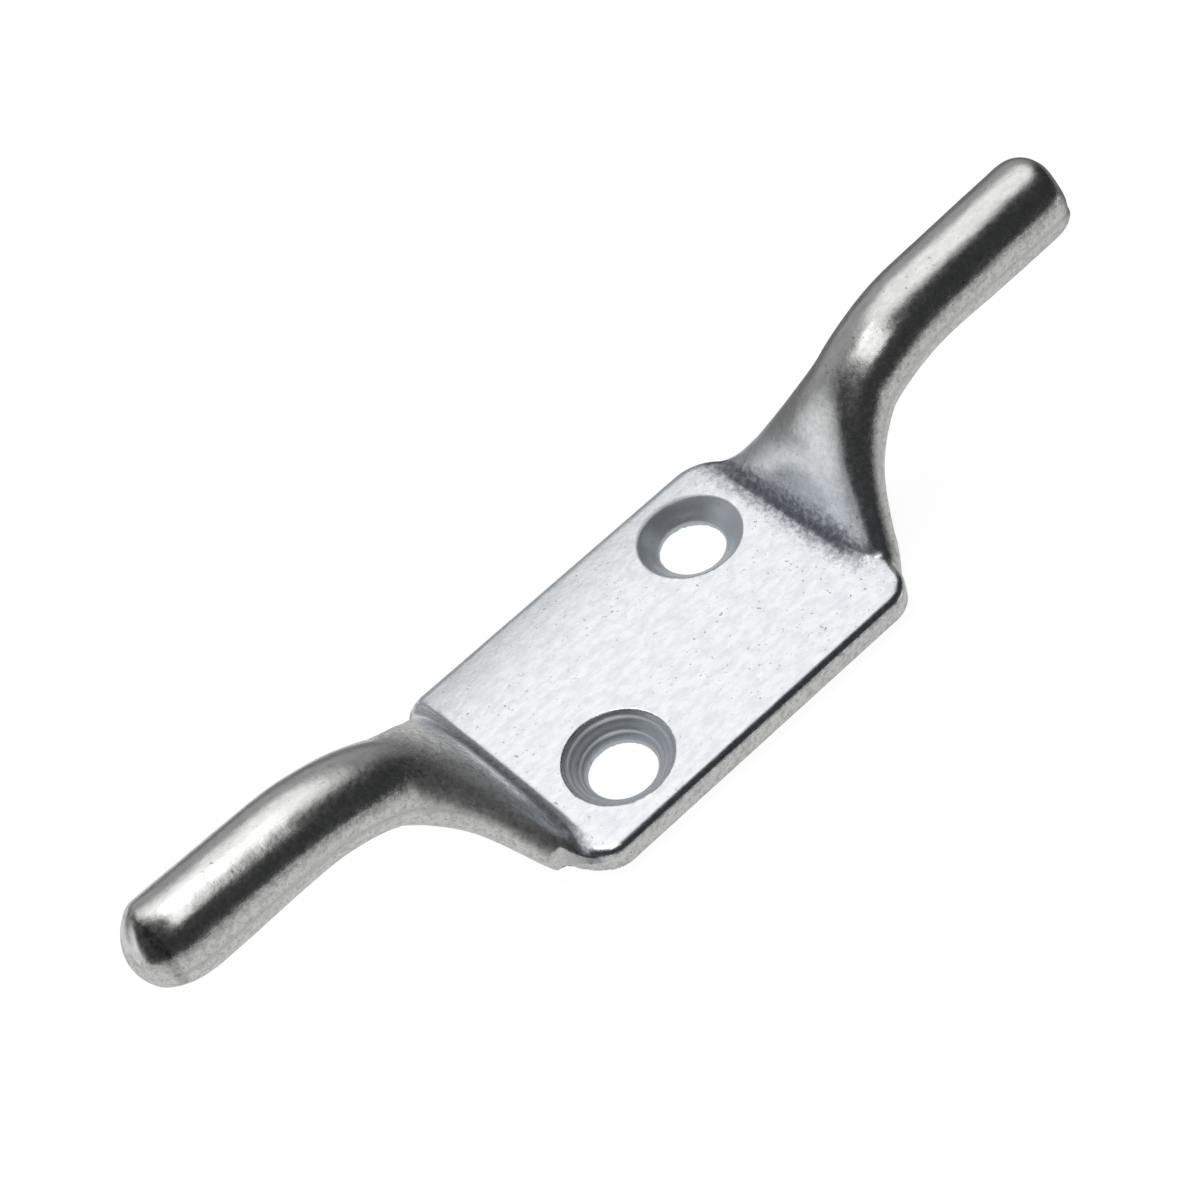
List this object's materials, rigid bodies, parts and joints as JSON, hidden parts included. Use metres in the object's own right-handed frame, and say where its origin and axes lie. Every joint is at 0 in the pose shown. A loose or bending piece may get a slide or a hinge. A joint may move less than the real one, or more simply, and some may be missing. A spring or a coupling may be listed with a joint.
{
  "type": "cleat hook",
  "caption": "Cast two-horned cleat hook: a flat base plate with countersunk screw holes on a diagonal, and a round horn rising and turning outward from each end, for belaying a cord or line.",
  "frame": {"origin": "middle of the plate's flat back, on the mounting surface", "axes": "+X along the horns from tip to tip, +Y across the plate, +Z out of the mounting surface towards the user"},
  "size_m": [0.1, 0.0256, 0.0182],
  "materials": {
    "zinc_plating": "bright zinc plating over a sand casting, with fine pits, a ground front face and duller machined countersinks"
  },
  "bodies": {
    "root": {"cleat_casting": "zinc_plating"}
  },
  "joints": []
}
